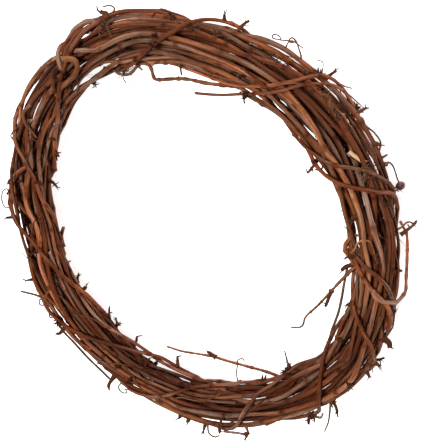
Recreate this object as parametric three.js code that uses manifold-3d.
// Grapevine wreath, in millimetres, +Z up. Long grape canes are coiled into a ring about 30 cm
// across, and more canes are wound round the coils to bind them. Each cane is one solid, together
// with the spurs, twigs, tendrils and dried grapes that grow from it. The ring lies on z = 0.

import * as THREE from "three";
import { mergeVertices } from "three/addons/utils/BufferGeometryUtils.js";
import Module from "manifold-3d";

const wasm = await Module();
wasm.setup();

// Driving dimensions. Lists of 12 values go round the ring in steps of 30 degrees.
const ringRadius = 133; // from the wreath's axis to the middle of the bundle
const bundleDrift = [0.5, -3, 0, -0.5, -0.5, 2.5, 0, -0.5, 0, -0.5, -1.5, 3.2]; // the middle wanders
const bundleHalf = [17.2, 16.9, 16.8, 16.4, 17.2, 18, 16.5, 13.6, 14.8, 15.6, 15.5, 15.8]; // half its width
const bundleHeight = 16.2; // the middle of the bundle above the surface that the wreath lies on
const bundleDepth = 0.93; // how much lower than wide the bundle is
const centre = [-4.54, -2.38]; // the middle of the outline before it is brought to x = y = 0
const gap = 0.3; // air between two canes that lie on each other
const flat = 0.6; // how far below the surface the lowest canes would reach if they weren't flattened there
const coilStep = 12; // degrees of ring to a straight piece of coil
const binderStep = 18; // length of a straight piece of binder
const wanderStep = 44; // degrees of ring between two bends of a coil
const wander = 0.5; // how far a coil moves between two bends, as a share of the bundle
const knotEvery = 3; // straight pieces between two knots
const knotSwell = 1.14; // how thick a knot is, next to the cane
const seed = 7;

// Coils: ring angle of the butt end, turns round the ring, radius at the butt and at the tip, and
// the stretch of its way that is set by hand, or -1.
const coils = [
  [330, 1.5, 2.15, 1.5, 0],
  [190, 1.9, 1.8, 1.25, 1],
  [12, 2.2, 1.9, 1.25, 2],
  [30, 1.3, 1.75, 1.35, 3],
  [100, 2, 1.65, 1.15, 4],
  [340, 1.2, 1.75, 1.4, 5],
  [50, 2.1, 1.65, 1.1, 6],
  [205, 1.8, 1.65, 1.25, 7],
  [225, 1.7, 1.8, 1.35, 8],
  [150, 1.4, 1.75, 1.4, 9],
  [285, 2, 1.55, 1.1, 10],
  [255, 1.3, 1.55, 1.25, 11],
  [60, 1.1, 1.4, 1.1, 12],
  [180, 2.3, 1.8, 1.15, -1],
  [120, 2.2, 1.65, 1.1, -1],
  [305, 2, 1.95, 1.25, -1],
  [240, 1.2, 1.4, 1, -1],
  [0, 1.9, 1.75, 1.15, -1],
  [75, 1.6, 2.05, 1.4, -1],
  [345, 1.1, 1.35, 0.95, -1],
];

// Where the coils that lie on top run: ring angle, outwards from ringRadius, up from the middle.
const ways = [
  [[-4.9, -4.2, 13.8], [7.1, -5.6, 14], [15.2, -6.2, 14.1], [20.4, -6.2, 14.2], [32.9, -6.4, 14.2],
    [46.8, -5.7, 13.9], [56.5, -5.1, 13.7], [67.3, -4.5, 13.6], [79.2, -0.8, 14.2], [87.9, 0.4, 14],
    [100.9, 0.4, 14.2], [107.4, -0.8, 14.5], [120.5, -4.1, 14.4], [127.9, -6.4, 13.6], [140.3, -7.7, 12.3],
    [153.7, -7.9, 11.7], [166.9, -9, 11], [183.6, -10.1, 9.7]],
  [[232.7, -3.4, 12], [244.1, -1.7, 12.8], [256.1, -1, 13.3], [267.2, 0.4, 13.5], [279.2, 1.6, 13.3],
    [290.4, 4, 12.3], [302.6, 4.4, 12.2], [313.9, 5.6, 12.6], [326.4, 7.8, 12.8], [338.2, 9.8, 12.4],
    [348.9, 12.9, 9.8], [358.5, 15.6, 4.8], [365.9, 15.7, 6.9], [376.3, 14, 9.1]],
  [[24.5, -0.6, 14.8], [32.7, 5.2, 12.4], [41.4, 7.5, 11.3], [49.2, 4.3, 13.8], [59.9, 5.9, 13.6],
    [68.8, 10.7, 11.2], [79.4, 10.1, 11.3], [86.8, 5.7, 13], [98.7, 1.4, 14.4], [110.7, -0.5, 14.9],
    [128.1, 0.2, 15.5], [141, 0.2, 15.8], [154.7, -0.1, 15.7], [167, 1.5, 15.4], [183.7, 8.1, 11.5],
    [190.3, 8.4, 10.2], [197.1, 7.5, 9.8], [205.4, 3.7, 11.1], [214.3, 2, 11.3], [222.5, 5.7, 10.2],
    [228.5, 4.7, 11.1], [238.3, 3.1, 12.3], [246.8, 3, 12.7]],
  [[48.6, -15, 5.9], [57.8, -13.8, 6.2], [64.5, -11.1, 9.8], [73.9, -8.2, 12.2], [86.8, -4.2, 14.1],
    [100.9, -3.3, 14.6], [114, -4, 14.8], [128.1, -4.3, 15]],
  [[132.1, 6.6, 14.8], [140.2, 10.9, 13.4], [154, 9.9, 14.4], [166.2, 9.1, 13.6], [176.2, 11.3, 10.2],
    [187.9, 17, 2.9], [196.3, 16.9, 1], [204.8, 14.5, -0.8]],
  [[6.6, -15.2, 3.6], [22.8, -16, -7.7], [29.4, -16.3, -6.9], [39.7, -14.7, -8.7], [49.5, -13.1, -9.6],
    [57.2, -11.9, -10.3]],
  [[80.4, -13.6, -6.4], [87.1, -14.1, -5.5], [99.5, -14, -6.4], [112, -16, -0], [125.3, -15.7, 1.1],
    [136.7, -14.7, -1.1], [153.9, -12.7, -5.9], [178.8, -14.8, -3.2]],
  [[228.3, -14.1, 5.1], [243.1, -13, 6.3], [255.7, -13.1, 7.1], [267.1, -14.9, 8.3], [285.1, -16.1, 8],
    [294.8, -16, 7.1], [302.4, -12.7, 7.6], [310.4, -14.7, 6.2], [323.5, -14.4, 4.8]],
  [[249.4, 11.9, -5.6], [259.7, 12.2, -6.2], [272.1, 14.9, -7.7], [286.6, 13.7, -7], [301, 13.6, -6],
    [312.9, 13.7, -4.4], [325.7, 17.6, -2.6], [336.9, 21, 0.2], [341.5, 21.9, 1.7]],
  [[246.4, 8.4, 10.1], [255.8, 8.5, 10.3], [267.1, 10.8, 7.9], [276.7, 11.4, 6.6], [286.1, 9, 9],
    [295.2, 5.6, 11.6]],
  [[302.4, -7.8, 12.1], [314, -7.5, 11.1], [327.4, -8.3, 8.2], [340.3, -11, 4.7], [357.6, -13.4, 6.1],
    [367.1, -11.9, 10.4], [378, -12.1, 11.6], [386.9, -14.9, 9.3], [398.5, -16.8, 5.1], [409.8, -16.1, 0.7],
    [418.9, -15.2, 0.5]],
  [[285.6, 0.8, 13.7], [296.7, 0.6, 13.6], [307, 1, 13.7], [317.4, 3.8, 13.7], [325.9, 4.1, 13.9]],
  [[74.1, -11.7, 9.4], [84.7, -10, 11.3], [95.4, -10.7, 11], [108, -13.1, 9]],
];

// Binders: radius at the butt and at the tip, then ring angle, angle round the bundle (0 is the
// outer edge, 90 the top, 180 the inner edge) and how far it stands off the bundle.
const binders = [
  [1.7, 1.25, [[308, -95], [325, -30], [342, 34], [346, 76], [354, 107], [365, 140], [380, 177], [412, 300],
    [445, 429], [452, 463], [461, 501], [469, 526], [502, 640], [534, 739], [542, 800], [550, 849],
    [560, 897], [584, 985], [603, 1057], [608, 1128], [612, 1168], [618, 1203], [641, 1310], [664, 1419],
    [669, 1463], [676, 1519], [687, 1581], [694, 1614], [708, 1685]]],
  [1.6, 1.15, [[350, -70], [364, -15], [377, 35], [390, 122], [407, 178], [442, 300], [477, 418],
    [485, 458], [493, 493], [502, 522], [508, 537], [534, 630], [558, 722], [564, 764], [570, 821],
    [575, 849], [591, 960], [606, 1056], [614, 1127], [618, 1166], [623, 1201], [630, 1230], [652, 1310],
    [668, 1375]]],
  [1.6, 1.15, [[18, -55], [33, 5], [46, 56], [57, 115], [69, 151], [78, 181], [113, 300], [148, 417],
    [156, 468], [162, 502], [170, 525], [192, 622], [213, 711], [226, 793], [234, 877], [253, 968],
    [272, 1054], [278, 1108], [282, 1150], [288, 1184], [298, 1228], [306, 1236], [322, 1262],
    [335, 1290]]],
  [1.6, 0.95, [[186, -120], [200, -60], [213, 15], [219, 50], [224, 99], [229, 144], [251, 250], [272, 350],
    [278, 404], [282, 448], [288, 490], [298, 513, 6.5], [306, 514, 10.5]]],
];
const binderStand = 0.9; // how far the middle of a binder stands out from the coils round it

// Spurs, twigs, tendrils and dried grapes: radius at the root and at the end, then ring angle,
// outwards from ringRadius and up from the middle, from root to end.
const growths = [
  [0.45, 0.4, [[43, 9.2, 9.1], [39.4, 11.7, 11.2], [40.1, 14, 13], [43.1, 14.4, 13.7], [45.4, 12.9, 12.4],
    [45.2, 11.3, 10.9], [46.4, 10.4, 10.2]]],
  [1.1, 0.6, [[37.8, 8.9, 8.8], [37.1, 11.7, 11]]],
  [0.95, 0.5, [[49.1, 9.5, 9.3], [48.4, 13.7, 13.2]]],
  [0.8, 0.35, [[69.1, 9.5, 9.9], [68.4, 13.4, 14.2]]],
  [0.85, 0.45, [[78.1, 6.4, 7.1], [74.6, 11, 12], [70.5, 17.7, 19.4]]],
  [0.45, 0.4, [[75.7, 9.6, 10.5], [75.4, 11.8, 13], [76.7, 12.8, 14.1], [77.4, 11.5, 12.8]]],
  [0.45, 0.4, [[80, 9.4, 10.6], [80.1, 11.6, 13.1], [81.4, 12.5, 14.2], [81.8, 11.7, 13.3]]],
  [1.1, 0.4, [[86.9, 9.2, 10.7], [87, 12.6, 14.6], [86.3, 14.5, 16.9]]],
  [0.8, 0.7, [[83.7, 8.5, 9.6], [86.1, 10.8, 12.4], [92.2, 10.4, 12.1], [98.6, 10.8, 12.5],
    [104.5, 11.3, 13], [107.2, 11.9, 13.5]]],
  [1., 0.6, [[101.8, 10.8, 12.5], [101.4, 8.8, 10.2]]],
  [1.1, 0.4, [[108.1, 10.4, 11.8], [108.1, 14.3, 16.3], [109.2, 16.3, 18.5]]],
  [0.45, 0.4, [[110.3, 10.5, 11.8], [110.8, 13.6, 15.3], [112.5, 14.6, 16.3], [113.8, 13.4, 14.8],
    [113, 12.2, 13.6]]],
  [0.95, 0.5, [[131.4, 10.7, 9.2], [131.3, 14.4, 12.9]]],
  [0.55, 0.45, [[140.3, 13.8, 10], [141, 18.4, 13.9], [142.8, 20.5, 15.2], [144.2, 19.7, 14.1]]],
  [0.8, 0.5, [[143.3, 13.2, 11.2], [144.4, 18.6, 16.1]]],
  [0.75, 0.7, [[152.4, 13.3, 7], [152.3, 18.2, 10.5], [148.8, 17.9, 11.2], [145.2, 17.6, 12]]],
  [0.95, 0.5, [[152.3, 18.5, 10.8], [151.9, 21.5, 13.1]]],
  [1., 0.55, [[173.5, 14.2, 4.7], [171.5, 18.2, 6.6], [170.7, 21.7, 8.3]]],
  [0.6, 0.5, [[172.1, 17.4, 6.2], [174.7, 21, 7.1], [176.1, 19.2, 6.2]]],
  [0.6, 0.4, [[178.8, 14.7, 4.1], [176.8, 24.1, 7.8], [174.5, 29.1, 10.6]]],
  [0.8, 0.5, [[179.4, 13.9, 3.8], [180.4, 20.3, 5.6], [179.7, 23.3, 6.8]]],
  [0.9, 0.6, [[194.6, 13.9, 1.1], [193.8, 18.6, 1.8]]],
  [0.8, 0.5, [[198.3, 15, 0.5], [198, 20, 0.9]]],
  [1.2, 1, [[206.1, 11.9, -0.9], [205, 17, -0.9], [203.8, 19.5, -0.6]]],
  [0.9, 0.6, [[217.9, 11.5, -2.5], [219.2, 16.2, -3.5], [226.1, 16, -4.5], [234, 15.8, -5.6],
    [236.3, 18.5, -6.7], [236.9, 23.9, -8.5]]],
  [0.5, 0.4, [[235, 15.7, -5.7], [237.8, 19.3, -7.2], [238, 22.4, -8.3], [236.9, 23, -8.3]]],
  [0.6, 0.55, [[242.8, 12.7, -5.4], [244.4, 16.9, -7.2], [245.3, 20.6, -8.7]]],
  [0.45, 0.45, [[245.3, 20.6, -8.7], [248.2, 17.8, -7.9], [250.2, 18.3, -8.3], [252, 16.9, -7.9],
    [252.1, 14.6, -6.9]]],
  [0.6, 0.4, [[253.8, 11.3, -5.5], [253.8, 16.8, -7.9]]],
  [0.45, 0.4, [[255, 12.1, -5.9], [257, 16.6, -8.1], [259.6, 17.1, -8.4], [261.7, 15.9, -8],
    [263.8, 16.3, -8.2]]],
  [0.85, 0.5, [[265.5, 12.7, -6.6], [265.1, 19.3, -9.6]]],
  [0.7, 0.5, [[266.4, 12.7, -6.6], [268.1, 17.4, -8.8]]],
  [0.85, 0.4, [[275.9, 15.1, -7.8], [275.5, 21.8, -10.8]]],
  [0.45, 0.4, [[276.8, 15.1, -7.8], [278.7, 20.2, -10], [280.3, 19.4, -9.7]]],
  [0.5, 0.4, [[283.1, 16.1, -8.2], [285.6, 20.9, -10], [287.7, 22.8, -10.6], [288.5, 20.2, -9.6],
    [291.4, 17.4, -8.3]]],
  [0.5, 0.4, [[287.7, 15.4, -7.7], [287.4, 18.9, -9.1], [284.3, 20.3, -9.8]]],
  [0.8, 0.45, [[301, 13.6, -6], [299, 18.8, -8.1], [298, 21.2, -9.1]]],
  [0.75, 0.5, [[303.6, 13.8, -5.8], [304.1, 19.1, -7.6]]],
  [1.1, 0.8, [[335.3, 17, -0.3], [334.3, 22, -0.5], [335.7, 24, 0]]],
  [0.55, 0.4, [[335.1, 22.5, -0.3], [336.3, 25.5, 0.3], [336.1, 28, 0.3]]],
  [0.45, 0.4, [[334, 20, -0.6], [332, 23.4, -1.2], [332.9, 26, -1], [334.6, 26.3, -0.3]]],
  [1.2, 0.9, [[339.4, 19.8, 5.7], [345.2, 22.7, 2.9], [347.4, 18.2, 8.6], [347.9, 10.9, 16],
    [347.9, 6.2, 17.8], [348.8, 1.9, 18.3], [351.2, -0.6, 18.3]]],
  [0.7, 0.5, [[31.5, -14.4, -7.3], [32.5, -18.7, -10]]],
  [1.6, 1, [[62.7, -10.1, -9.5], [59, -13.6, -12.1], [55.3, -17.8, -12.5]]],
  [0.7, 0.4, [[68.8, -9.2, -9.1], [68.9, -12.1, -11.8]]],
  [0.9, 0.35, [[76.8, -9, -9], [75.3, -11.4, -11.3], [74.7, -13.2, -12.5]]],
  [0.85, 0.4, [[94.3, -9.6, -9.2], [90.9, -19.5, -12.5]]],
  [0.45, 0.4, [[92.2, -14.4, -12.5], [93.2, -18, -12.5]]],
  [0.95, 0.5, [[98.4, -9.7, -9.2], [97.7, -12.2, -11.7], [98.2, -15.1, -12.5]]],
  [0.75, 0.4, [[97.8, -11.7, -11.2], [96, -14.3, -12.5]]],
  [1., 0.5, [[107, -9.5, -8.6], [106.9, -12.7, -11.6], [106.2, -16.9, -12.5]]],
  [1.2, 0.8, [[117.5, -9.4, -8.2], [117.8, -13.8, -12.2]]],
  [0.6, 0.45, [[138, -9.5, -8.8], [139.2, -12.2, -10.8], [141.9, -11.5, -10]]],
  [0.45, 0.4, [[148.2, -10.6, -8.6], [147, -13.4, -10.5], [148, -15.4, -11.6], [149.7, -13.9, -10.2],
    [148.4, -12.6, -9.7], [147.9, -17.4, -11.8], [149.1, -21.7, -10.6], [150.3, -25.6, -9.5],
    [151.3, -29.5, -9.2], [153.7, -30.8, -9.1], [154.3, -28.8, -9.2]]],
  [1.3, 0.8, [[167.5, -14, -5.3], [160.5, -18.9, -9.2], [155.4, -21, -11.9], [150.2, -24, -12.5],
    [145.3, -26.3, -12.5], [140.5, -28.1, -12.5], [135.8, -28.3, -12.5], [130.2, -27, -12.5],
    [124.7, -24.8, -12.5], [118.3, -22.9, -12.5]]],
  [0.95, 0.6, [[140.5, -28.1, -12.5], [136.5, -32.2, -12.5]]],
  [0.85, 0.5, [[127.5, -25.9, -12.5], [123.9, -21.4, -12.5]]],
  [0.95, 0.6, [[173.4, -14.7, -4.2], [173.3, -20.9, -5.6]]],
  [0.45, 0.4, [[173.4, -20.4, -5.5], [174.9, -28.4, -6.5]]],
  [1.4, 0.6, [[226.6, -12.5, 4.3], [222.7, -18.2, 5.7], [219.1, -22.7, 6.5], [215.4, -26.3, 6.7],
    [207.3, -32.1, 5.6], [198.1, -36.4, 2.5], [191.8, -35, -0.5], [186.7, -39.8, -2.7]]],
  [0.85, 0.5, [[215.4, -26.3, 6.7], [207.8, -27.5, 4.7]]],
  [1., 0.7, [[223.6, -17.2, 5.5], [223.5, -21.6, 7.1]]],
  [0.7, 0.55, [[203.8, -9.9, 0.8], [208.4, -16.6, 2.6], [215.3, -17.1, 3.9], [221.7, -15.6, 4.6]]],
  [0.95, 0.4, [[262.3, -12.2, 6.7], [261.1, -15.2, 8.5], [259.5, -22.4, 13]]],
  [0.5, 0.4, [[260.4, -12.2, 6.7], [258.3, -15.6, 8.7], [259.4, -18.1, 10.3]]],
  [1., 0.9, [[292.9, -15.5, 7], [302, -19.6, 8.7], [309.5, -20.7, 9.2], [314.1, -21.8, 9.4],
    [320.5, -23.3, 8.9], [322.3, -22.3, 8], [323.5, -16.7, 5.6], [325.1, -14.1, 4.4], [330.2, -12.1, 2.5]]],
  [0.7, 0.5, [[313.8, -14, 5.9], [311.9, -19.2, 8.4]]],
  [0.7, 0.5, [[330.1, -12.6, 2.6], [327.2, -17.5, 4.8]]],
  [0.9, 0.7, [[328.3, -8.6, 2.2], [329.9, -15.5, 3.3], [333, -18.5, 2.7], [337.7, -16.4, 0.8],
    [339.5, -12, 0.1]]],
  [0.9, 0.6, [[7.4, 5.9, 17.4], [10.2, 3.5, 18], [12.9, -1.3, 18.5], [14, -6.9, 17.6], [15.5, -11.1, 15.8]]],
];
// grapes, each on the growth that ends nearest, and the radius of each
const grapes = [[245.3, 20.6, -8.7, 2.8], [252.1, 14.6, -6.9, 1.4]];
const sproutEvery = 250; // length of cane between two places where a seeded sprout may grow
// length, radius at root and end
const sprouts = [[3, 1, 0.7], [5.5, 0.85, 0.5], [2.4, 1.15, 0.8], [7.5, 0.75, 0.4], [4, 0.9, 0.5]];

const radians = Math.PI / 180;
function randomFrom(state) {
  return () => {
    state = (state + 0x6d2b79f5) >>> 0;
    let t = Math.imul(state ^ (state >>> 15), 1 | state);
    t = (t + Math.imul(t ^ (t >>> 7), 61 | t)) ^ t;
    return ((t ^ (t >>> 14)) >>> 0) / 4294967296;
  };
}

// A list of 12 values read at a ring angle.
function around(list, angle) {
  const x = ((((angle % 360) + 360) % 360) / 360) * list.length;
  const i = Math.floor(x);
  const t = x - i;
  const [a, b, c, d] = [-1, 0, 1, 2].map((k) => list[(i + k + list.length) % list.length]);
  return b + 0.5 * t * (c - a + t * (2 * a - 5 * b + 4 * c - d + t * (3 * (b - c) + d - a)));
}

function spot(angle, out, up) {
  const reach = ringRadius + out;
  return [reach * Math.cos(angle * radians), reach * Math.sin(angle * radians), bundleHeight + up];
}

// A smooth line through rows [x, y1, y2...], read at x.
function smooth(rows, x) {
  let i = 0;
  while (i < rows.length - 2 && x > rows[i + 1][0]) i++;
  const [a, b] = [rows[i], rows[i + 1]];
  const before = rows[i - 1] || a;
  const after = rows[i + 2] || b;
  const h = b[0] - a[0];
  const t = Math.min(1, Math.max(0, (x - a[0]) / h));
  return a.slice(1).map((value, k) => {
    const m0 = ((b[k + 1] - before[k + 1]) / (b[0] - before[0])) * h;
    const m1 = ((after[k + 1] - a[k + 1]) / (after[0] - a[0])) * h;
    const t2 = t * t;
    const t3 = t2 * t;
    return (2 * t3 - 3 * t2 + 1) * value + (t3 - 2 * t2 + t) * m0
      + (3 * t2 - 2 * t3) * b[k + 1] + (t3 - t2) * m1;
  });
}

// Where each cane would like to run: points, radii, and how readily each point gives way.
function coilGuide(index) {
  const [butt, turns, thick, thin, wayIndex] = coils[index];
  const random = randomFrom(seed + index * 101);
  const end = butt + 360 * turns;
  let way = wayIndex < 0 ? [] : ways[wayIndex];
  if (way.length) {
    const shift = 360 * Math.ceil((butt - way[0][0]) / 360);
    way = way.map(([a, out, up]) => [a + shift, out, up]);
  }
  const reach = Math.sqrt((index + 0.5) / coils.length);
  let p = reach * Math.cos(index * 2.399963);
  let q = reach * Math.sin(index * 2.399963);
  const rows = way.slice();
  for (let a = butt; a < end + wanderStep; a += wanderStep) {
    p += (random() - 0.5) * 2 * wander;
    q += (random() - 0.5) * 2 * wander;
    const far = Math.hypot(p, q);
    if (far > 1) [p, q] = [p / far, q / far];
    if (way.length && a > way[0][0] - 24 && a < way[way.length - 1][0] + 24) continue;
    const half = around(bundleHalf, a) - thick;
    rows.push([a, around(bundleDrift, a) + half * p, half * q * bundleDepth]);
  }
  rows.sort((a, b) => a[0] - b[0]);
  const angles = [butt];
  for (let a = Math.ceil((butt + 4) / coilStep) * coilStep; a < end - 4; a += coilStep) angles.push(a);
  angles.push(end);
  const knotPhase = Math.floor(random() * knotEvery);
  return angles.map((a, k) => {
    const [out, up] = smooth(rows, a);
    const knot = k > 0 && k < angles.length - 1 && k % knotEvery === knotPhase;
    const held = way.length && a > way[0][0] - 6 && a < way[way.length - 1][0] + 6;
    return {
      at: spot(a, out, up),
      radius: (thick + (thin - thick) * (a - butt) / (end - butt)) * (knot ? knotSwell : 1),
      ease: held ? 0.35 : 1,
      knot,
    };
  });
}

function binderGuide(index) {
  const [thick, thin, way] = binders[index];
  const rows = way.map(([a, around_, off], k) => [k, a, around_, off || 0]);
  const radius = (t) => thick + (thin - thick) * t;
  const place = (k) => {
    const [a, turn, off] = smooth(rows, k);
    const reach = around(bundleHalf, a) + binderStand + off;
    const out = around(bundleDrift, a) + reach * Math.cos(turn * radians);
    return spot(a, out, reach * Math.sin(turn * radians) * bundleDepth);
  };
  const fine = [];
  const last = rows.length - 1;
  for (let k = 0; k <= last * 24; k++) fine.push(place(k / 24));
  const along = [0];
  for (let k = 1; k < fine.length; k++) along.push(along[k - 1] + distance(fine[k], fine[k - 1]));
  const pieces = Math.round(along[along.length - 1] / binderStep);
  const points = [];
  let j = 0;
  for (let k = 0; k <= pieces; k++) {
    const want = (along[along.length - 1] * k) / pieces;
    while (j < along.length - 2 && along[j + 1] < want) j++;
    const t = (want - along[j]) / (along[j + 1] - along[j]);
    const knot = k > 0 && k < pieces && k % 4 === 2;
    points.push({
      at: fine[j].map((v, c) => v + (fine[j + 1][c] - v) * t),
      radius: radius(k / pieces) * (knot ? knotSwell : 1),
      ease: 0.3,
      knot,
    });
  }
  return points;
}

function distance(a, b) {
  return Math.hypot(a[0] - b[0], a[1] - b[1], a[2] - b[2]);
}

// The nearest points of two straight pieces: shares along each, and the vector between them.
function nearest(p, a, b, c, d) {
  const ux = p[b] - p[a], uy = p[b + 1] - p[a + 1], uz = p[b + 2] - p[a + 2];
  const vx = p[d] - p[c], vy = p[d + 1] - p[c + 1], vz = p[d + 2] - p[c + 2];
  const wx = p[a] - p[c], wy = p[a + 1] - p[c + 1], wz = p[a + 2] - p[c + 2];
  const uu = ux * ux + uy * uy + uz * uz;
  const uv = ux * vx + uy * vy + uz * vz;
  const vv = vx * vx + vy * vy + vz * vz;
  const uw = ux * wx + uy * wy + uz * wz;
  const vw = vx * wx + vy * wy + vz * wz;
  const clamp = (x) => Math.min(1, Math.max(0, x));
  let s = clamp((uv * vw - vv * uw) / Math.max(uu * vv - uv * uv, 1e-9));
  const t = clamp((uv * s + vw) / vv);
  s = clamp((uv * t - uw) / uu);
  return [s, t, wx + s * ux - t * vx, wy + s * uy - t * vy, wz + s * uz - t * vz];
}

// All points in one array, so that they can push each other: lines is a list of guides.
function layOut(lines) {
  const count = lines.reduce((sum, line) => sum + line.length, 0);
  const state = {
    at: new Float64Array(count * 3), radius: new Float64Array(count), ease: new Float64Array(count),
    first: [], line: [], pieces: [],
  };
  let n = 0;
  lines.forEach((line, l) => {
    state.first.push(n);
    line.forEach((point, k) => {
      state.at.set(point.at, n * 3);
      state.radius[n] = point.radius;
      state.ease[n] = point.ease;
      state.line.push(l);
      if (k < line.length - 1) state.pieces.push(n);
      n++;
    });
  });
  state.first.push(n);
  return state;
}

// The pairs of pieces that are near enough to meet, without neighbours on one line and kin.
function closePairs(state, margin, skip) {
  const { at, radius, pieces, line } = state;
  const middle = pieces.map((a) => [0, 1, 2].map((c) => (at[a * 3 + c] + at[a * 3 + 3 + c]) / 2));
  const half = pieces.map((a) => Math.hypot(...[0, 1, 2].map((c) => at[a * 3 + c] - at[a * 3 + 3 + c])) / 2
    + Math.max(radius[a], radius[a + 1]));
  const pairs = [];
  for (let i = 0; i < pieces.length; i++)
    for (let j = i + 1; j < pieces.length; j++) {
      if (skip(pieces[i], pieces[j], line[pieces[i]], line[pieces[j]])) continue;
      const reach = half[i] + half[j] + margin;
      const aside = Math.max(Math.abs(middle[i][0] - middle[j][0]), Math.abs(middle[i][1] - middle[j][1]));
      if (aside > reach) continue;
      if (distance(middle[i], middle[j]) < reach) pairs.push(pieces[i], pieces[j]);
    }
  return pairs;
}

// One round of pushing: every pair that lies too close moves apart, all at once.
function push(state, pairs, swell, share) {
  const { at, radius, ease } = state;
  const move = new Float64Array(at.length);
  let worst = 0;
  for (let k = 0; k < pairs.length; k += 2) {
    const [i, j] = [pairs[k], pairs[k + 1]];
    const [s, t, x, y, z] = nearest(at, i * 3, i * 3 + 3, j * 3, j * 3 + 3);
    const far = Math.sqrt(x * x + y * y + z * z);
    const need = (radius[i] * (1 - s) + radius[i + 1] * s
      + radius[j] * (1 - t) + radius[j + 1] * t) * swell + gap;
    if (far >= need) continue;
    worst = Math.max(worst, need - far);
    const ei = ease[i] * (1 - s) + ease[i + 1] * s;
    const ej = ease[j] * (1 - t) + ease[j + 1] * t;
    if (ei + ej < 1e-9) continue;
    const size = ((need - far) * share) / Math.max(far, 1e-6) / (ei + ej);
    const add = (n, w) => {
      move[n * 3] += x * size * w;
      move[n * 3 + 1] += y * size * w;
      move[n * 3 + 2] += z * size * w;
    };
    add(i, ei * (1 - s));
    add(i + 1, ei * s);
    add(j, -ej * (1 - t));
    add(j + 1, -ej * t);
  }
  for (let n = 0; n < move.length; n++) at[n] += move[n];
  return worst;
}

// Canes are springy: what moves one point off its guide moves its neighbours too.
function spring(state, guide, share, pull) {
  const { at, first, ease } = state;
  const off = at.map((v, n) => v - guide[n]);
  for (let l = 0; l < first.length - 1; l++)
    for (let n = first[l]; n < first[l + 1]; n++) {
      const back = Math.max(n - 1, first[l]);
      const on = Math.min(n + 1, first[l + 1] - 1);
      const hold = 1 - pull * (ease[n] < 0.9 ? 2 : 1);
      for (let c = 0; c < 3; c++) {
        const own = off[n * 3 + c];
        const mean = (off[back * 3 + c] + off[on * 3 + c]) / 2;
        at[n * 3 + c] = guide[n * 3 + c] + (own + (mean - own) * share) * hold;
      }
    }
}

function keepIn(state, coilPoints) {
  const { at, radius } = state;
  for (let n = 0; n < radius.length; n++) {
    const floor = radius[n] - flat;
    if (at[n * 3 + 2] < floor) at[n * 3 + 2] = floor;
    if (n >= coilPoints) continue;
    const angle = Math.atan2(at[n * 3 + 1], at[n * 3]) / radians;
    const reach = Math.hypot(at[n * 3], at[n * 3 + 1]);
    const out = reach - ringRadius - around(bundleDrift, angle);
    const up = (at[n * 3 + 2] - bundleHeight) / bundleDepth;
    const far = Math.hypot(out, up);
    const over = far - around(bundleHalf, angle) + radius[n];
    if (over <= 0) continue;
    const back = (0.4 * over) / far;
    at[n * 3] -= (at[n * 3] / reach) * out * back;
    at[n * 3 + 1] -= (at[n * 3 + 1] / reach) * out * back;
    at[n * 3 + 2] -= up * back * bundleDepth;
  }
}

function settle() {
  const lines = [...coils.keys()].map(coilGuide);
  const coilPoints = lines.reduce((sum, line) => sum + line.length, 0);
  lines.push(...[...binders.keys()].map(binderGuide));
  const state = layOut(lines);
  const guide = state.at.slice();
  const skip = (i, j, li, lj) => li === lj && Math.abs(i - j) < 3;
  let pairs;
  let worst;
  for (let round = 0; round < 420; round++) {
    if (round % 15 === 0) pairs = closePairs(state, 5, skip);
    const spread = round < 90;
    worst = push(state, pairs, spread ? 1.45 : 1, 0.45);
    if (round < 240) spring(state, guide, 0.3, 0.004);
    keepIn(state, round < 240 ? coilPoints : 0);
  }
  return { lines, state, worst };
}

const { lines: strands, state: laid } = settle();
const strandPoints = strands.map((line, l) => line.map((point, k) => {
  const from = (laid.first[l] + k) * 3;
  return [...laid.at.subarray(from, from + 3)];
}));
const strandRadii = strands.map((line) => line.map((point) => point.radius));

// Where a growth may leave its cane: the nearest cane whose way out to the next point is free.
function pieceGap(a, b, ra, rb, l, k) {
  const flatArray = [...a, ...b, ...strandPoints[l][k], ...strandPoints[l][k + 1]];
  const [s, t, x, y, z] = nearest(flatArray, 0, 3, 6, 9);
  return Math.hypot(x, y, z) - (ra * (1 - s) + rb * s)
    - (strandRadii[l][k] * (1 - t) + strandRadii[l][k + 1] * t);
}

function footOn(point, l, k) {
  const [a, b] = [strandPoints[l][k], strandPoints[l][k + 1]];
  const ab = a.map((v, c) => b[c] - v);
  const along = ab.reduce((sum, v, c) => sum + v * (point[c] - a[c]), 0);
  const t = Math.min(0.98, Math.max(0.02, along / ab.reduce((sum, v) => sum + v * v, 0)));
  return a.map((v, c) => v + ab[c] * t);
}

function rootFor(points, radius) {
  let best = null;
  strandPoints.forEach((line, l) => {
    for (let k = 0; k < line.length - 1; k++) {
      const foot = footOn(points[0], l, k);
      const far = distance(foot, points[0]);
      if (far > 14) continue;
      let room = 1;
      strandPoints.forEach((other, m) => {
        if (m === l || room < -1) return;
        for (let j = 0; j < other.length - 1; j++) {
          if (distance(other[j], foot) > 40) continue;
          room = Math.min(room, pieceGap(foot, points[1], radius, radius, m, j));
        }
      });
      const cost = far + (room < gap ? 4 + (gap - room) * 6 : 0);
      if (!best || cost < best.cost) best = { cost, l, k, foot };
    }
  });
  return best;
}

const grown = []; // each growth: the strand it is fused to, its points and radii
growths.forEach(([thick, thin, way], index) => {
  const points = way.map(([angle, out, up]) => spot(angle, out, up));
  const last = points.length - 1;
  const radii = points.map((point, k) => thick + ((thin - thick) * k) / last);
  const parent = grown.find((g) => g.source.slice(1).some((p) => distance(p, points[0]) < 1.2));
  const source = points.map((point) => point.slice());
  if (parent) {
    grown.push({ source, points, radii, parent, owner: parent.owner });
  } else {
    const root = rootFor(points, thick);
    points[0] = root.foot;
    grown.push({ source, points, radii, owner: root.l });
  }
});

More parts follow.
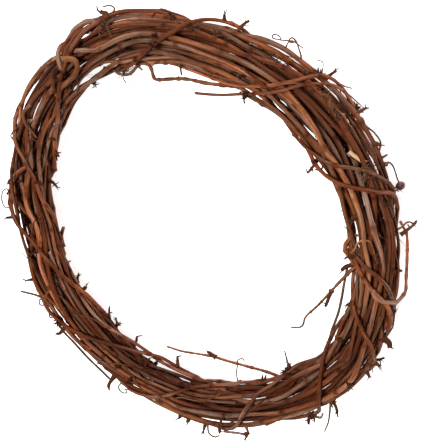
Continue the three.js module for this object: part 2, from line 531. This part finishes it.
function bendClear() {
  const lines = strandPoints.map((line, l) =>
    line.map((at, k) => ({ at, radius: strandRadii[l][k], ease: 0 })));
  const base = lines.length;
  grown.forEach((g) =>
    lines.push(g.points.map((at, k) => ({ at, radius: g.radii[k], ease: k === 0 ? 0 : 1 }))));
  const state = layOut(lines);
  const guide = state.at.slice();
  const owner = lines.map((line, l) => (l < base ? l : grown[l - base].owner));
  const skip = (i, j, li, lj) => lj < base || owner[li] === owner[lj];
  let worst = 0;
  const pairs = closePairs(state, 6, skip);
  for (let round = 0; round < 120; round++) {
    worst = push(state, pairs, 1, 0.45);
    grown.forEach((g, i) => {
      const n = state.first[base + i];
      if (g.parent) {
        const off = g.parent.source.map((p) => distance(p, g.source[0]));
        const root = g.parent.points.reduce((best, p, k) => (off[k] < off[best] ? k : best), 0);
        const at = state.first[base + grown.indexOf(g.parent)] + root;
        for (let c = 0; c < 3; c++) state.at[n * 3 + c] = state.at[at * 3 + c];
      }
      for (let k = 0; k < g.points.length; k++) {
        const up = (n + k) * 3 + 2;
        state.at[up] = Math.max(state.at[up], g.radii[k] + 0.05);
      }
    });
  }
  grown.forEach((g, i) => {
    g.points = g.points.map((p, k) => {
      const from = (state.first[base + i] + k) * 3;
      return [...state.at.subarray(from, from + 3)];
    });
  });
  return worst;
}
const bent = bendClear();

// Seeded sprouts stand on the outer canes, where nothing is in their way.
const sprouted = [];
function sproutOn(l) {
  const random = randomFrom(seed + 5000 + l * 37);
  const line = strandPoints[l];
  let next = sproutEvery * (0.2 + random());
  let run = 0;
  for (let k = 0; k < line.length - 1; k++) {
    const length = distance(line[k], line[k + 1]);
    while (next < run + length) {
      const t = (next - run) / length;
      next += sproutEvery * (0.6 + 0.8 * random());
      const [tall, thick, thin] = sprouts[Math.floor(random() * sprouts.length)];
      const lean = (random() - 0.5) * 1.1;
      const turn = (random() - 0.5) * 1.6;
      const foot = line[k].map((v, c) => v + (line[k + 1][c] - v) * t);
      const along = new THREE.Vector3(...line[k + 1]).sub(new THREE.Vector3(...line[k])).normalize();
      const angle = Math.atan2(foot[1], foot[0]);
      const middle = ringRadius + around(bundleDrift, angle / radians);
      const centreLine = [middle * Math.cos(angle), middle * Math.sin(angle), bundleHeight];
      const away = new THREE.Vector3(...foot.map((v, c) => v - centreLine[c]));
      away.addScaledVector(along, -away.dot(along)).normalize().applyAxisAngle(along, turn);
      const radius = strandRadii[l][k] + (strandRadii[l][k + 1] - strandRadii[l][k]) * t;
      const reach = (far, shift) =>
        foot.map((v, c) => v + away.getComponent(c) * far + along.getComponent(c) * shift);
      const points = [foot, reach(radius + tall * 0.5, tall * 0.2 * lean), reach(radius + tall, tall * lean)];
      const radii = [thick, (thick + thin) / 2, thin];
      if (points[2][2] < 1 + thin || points[1][2] < 1 + thick) continue;
      let room = 9;
      strandPoints.forEach((other, m) => {
        if (m === l) return;
        for (let j = 0; j < other.length - 1; j++) {
          if (distance(other[j], foot) > 45) continue;
          room = Math.min(room, pieceGap(points[0], points[1], thick, thick, m, j),
            pieceGap(points[1], points[2], thick, thin, m, j));
        }
      });
      for (const g of grown.concat(sprouted))
        for (let j = 0; j < g.points.length - 1; j++)
          room = Math.min(room, distance(g.points[j], points[2]) - 4,
            distance(g.points[j + 1], points[1]) - 4);
      if (room < gap + 0.1) continue;
      sprouted.push({ points, radii, owner: l });
    }
    run += length;
  }
}
strandPoints.forEach((line, l) => sproutOn(l));

// A closed tube along points: a cylinder whose rings are moved onto the line.
function tube(points, radii, sides) {
  const line = points.map((p) => new THREE.Vector3(...p));
  const cylinder = new THREE.CylinderGeometry(1, 1, line.length - 1, sides, line.length - 1);
  const position = cylinder.getAttribute("position");
  const frames = [];
  let normal = new THREE.Vector3(0, 0, 1);
  line.forEach((p, k) => {
    const back = line[Math.max(k - 1, 0)];
    const on = line[Math.min(k + 1, line.length - 1)];
    const into = p.clone().sub(back).normalize();
    const out = on.clone().sub(p).normalize();
    const along = into.clone().add(out).normalize();
    normal = normal.clone().addScaledVector(along, -normal.dot(along));
    if (normal.lengthSq() < 1e-6) normal = new THREE.Vector3(1, 0, 0).addScaledVector(along, -along.x);
    normal.normalize();
    frames.push([normal, new THREE.Vector3().crossVectors(along, normal)]);
  });
  for (let n = 0; n < position.count; n++) {
    const k = Math.min(line.length - 1, Math.max(0, Math.round(position.getY(n) + (line.length - 1) / 2)));
    const p = line[k].clone();
    p.addScaledVector(frames[k][0], position.getX(n) * radii[k]);
    p.addScaledVector(frames[k][1], -position.getZ(n) * radii[k]);
    position.setXYZ(n, p.x, p.y, p.z);
  }
  return solid(cylinder);
}

function solid(geometry) {
  geometry.deleteAttribute("normal");
  geometry.deleteAttribute("uv");
  const merged = mergeVertices(geometry, 1e-4);
  const vertProperties = merged.getAttribute("position").array;
  const triVerts = new Uint32Array(merged.index.array);
  return new wasm.Manifold(new wasm.Mesh({ numProp: 3, vertProperties, triVerts }));
}

const barkColours = ["#8c4728", "#a0562e", "#743a20", "#96502c", "#b0683a", "#6a3520"];
const endOf = (list) => list[list.length - 1];
const wreath = new THREE.Group();
strandPoints.forEach((points, l) => {
  const radii = strandRadii[l];
  const coil = l < coils.length;
  let body = tube(points, radii, !coil || radii[0] > 2.25 ? 6 : 5);
  for (const g of grown.concat(sprouted)) {
    if (g.owner === l) body = body.add(tube(g.points, g.radii, g.radii[0] > 0.6 ? 4 : 3));
  }
  for (const [angle, out, up, size] of grapes) {
    const home = spot(angle, out, up);
    const off = (g) => distance(endOf(g.source), home);
    const near = grown.reduce((best, g) => (off(g) < off(best) ? g : best));
    if (near.owner !== l) continue;
    const ball = new THREE.SphereGeometry(size, 8, 6).translate(...endOf(near.points));
    body = body.add(solid(ball));
  }
  body = body.trimByPlane([0, 0, 1], 0);
  const mesh = body.getMesh();
  const geometry = new THREE.BufferGeometry();
  geometry.setAttribute("position", new THREE.BufferAttribute(new Float32Array(mesh.vertProperties), 3));
  geometry.setIndex(new THREE.BufferAttribute(new Uint32Array(mesh.triVerts), 1));
  geometry.translate(-centre[0], -centre[1], 0);
  const color = barkColours[l % barkColours.length];
  const piece = new THREE.Mesh(geometry, new THREE.MeshStandardMaterial({ color, roughness: 0.85 }));
  piece.name = (coil ? "coil_" : "binder_") + String(coil ? l + 1 : l - coils.length + 1).padStart(2, "0");
  wreath.add(piece);
});

export default wreath;
